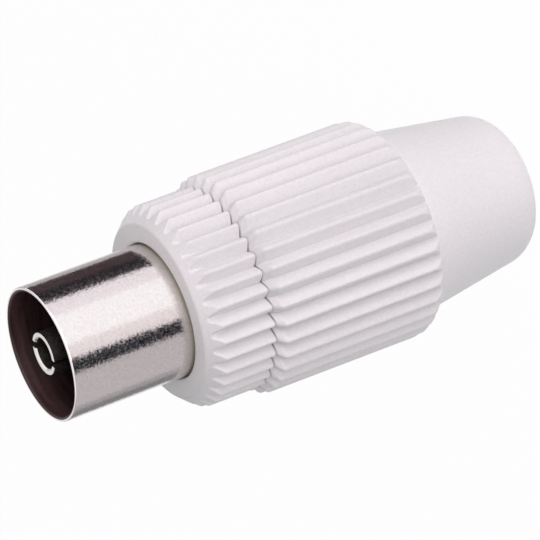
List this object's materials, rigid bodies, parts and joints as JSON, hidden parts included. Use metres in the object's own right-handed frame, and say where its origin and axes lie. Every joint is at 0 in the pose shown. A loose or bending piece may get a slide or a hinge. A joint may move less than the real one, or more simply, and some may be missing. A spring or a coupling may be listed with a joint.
{
  "type": "coaxial coupler",
  "caption": "In-line coaxial aerial socket: plated contact tube with a slotted centre socket, ribbed screw collar, ribbed sleeve and a tapered cable tail.",
  "frame": {"origin": "centre of the flat end of the tail, where the part stands", "axes": "+Z along the connector's axis from the cable end to the mouth; +X towards the terminal screw"},
  "size_m": [0.017, 0.017, 0.0401],
  "materials": {
    "white_plastic": "satin moulded white plastic",
    "nickel_plate": "nickel plating with fine drawing marks",
    "contact_plate": "bright tin plating on turned brass",
    "insulator_plastic": "dark brown moulded plastic",
    "screw_steel": "zinc-plated steel",
    "clamp_steel": "nickel-plated sheet"
  },
  "bodies": {
    "rear_sleeve": {"rear_sleeve": "white_plastic"},
    "insert": {"outer_contact": "nickel_plate", "insulator": "insulator_plastic", "centre_socket": "contact_plate", "clamp_base": "clamp_steel"},
    "front_collar": {"front_collar": "white_plastic"},
    "terminal_screw": {"terminal_screw": "screw_steel"},
    "clamp_strap": {"clamp_strap": "clamp_steel"},
    "clamp_screw_left": {"clamp_screw_left": "screw_steel"},
    "clamp_screw_right": {"clamp_screw_right": "screw_steel"}
  },
  "joints": [
    {"name": "insert_lift", "type": "slide", "parent": "rear_sleeve", "child": "insert", "axis": [0, 0, 1], "range_m": [0, 0.003]},
    {"name": "collar_turn", "type": "hinge", "parent": "insert", "child": "front_collar", "pos_m": [0, 0, 0.02765], "axis": [0, 0, 1], "range_deg": [0, 1080]},
    {"name": "terminal_screw_turn", "type": "hinge", "parent": "insert", "child": "terminal_screw", "pos_m": [0.00225, 0, 0.02495], "axis": [1, 0, 0], "range_deg": [0, 720]},
    {"name": "strap_lift", "type": "slide", "parent": "insert", "child": "clamp_strap", "axis": [0, 1, 0], "range_m": [0, 0.00035]},
    {"name": "clamp_screw_left_turn", "type": "hinge", "parent": "clamp_strap", "child": "clamp_screw_left", "pos_m": [-0.0037, 0.00055, 0.01575], "axis": [0, 1, 0], "range_deg": [0, 360]},
    {"name": "clamp_screw_right_turn", "type": "hinge", "parent": "clamp_strap", "child": "clamp_screw_right", "pos_m": [0.0037, 0.00055, 0.01575], "axis": [0, 1, 0], "range_deg": [0, 360]}
  ],
  "couplings": [
    {"joint": "collar_turn", "follows": "insert_lift", "rad_per_m": 6283.1},
    {"joint": "clamp_screw_left_turn", "follows": "strap_lift", "rad_per_m": 17951},
    {"joint": "clamp_screw_right_turn", "follows": "strap_lift", "rad_per_m": 17951}
  ]
}
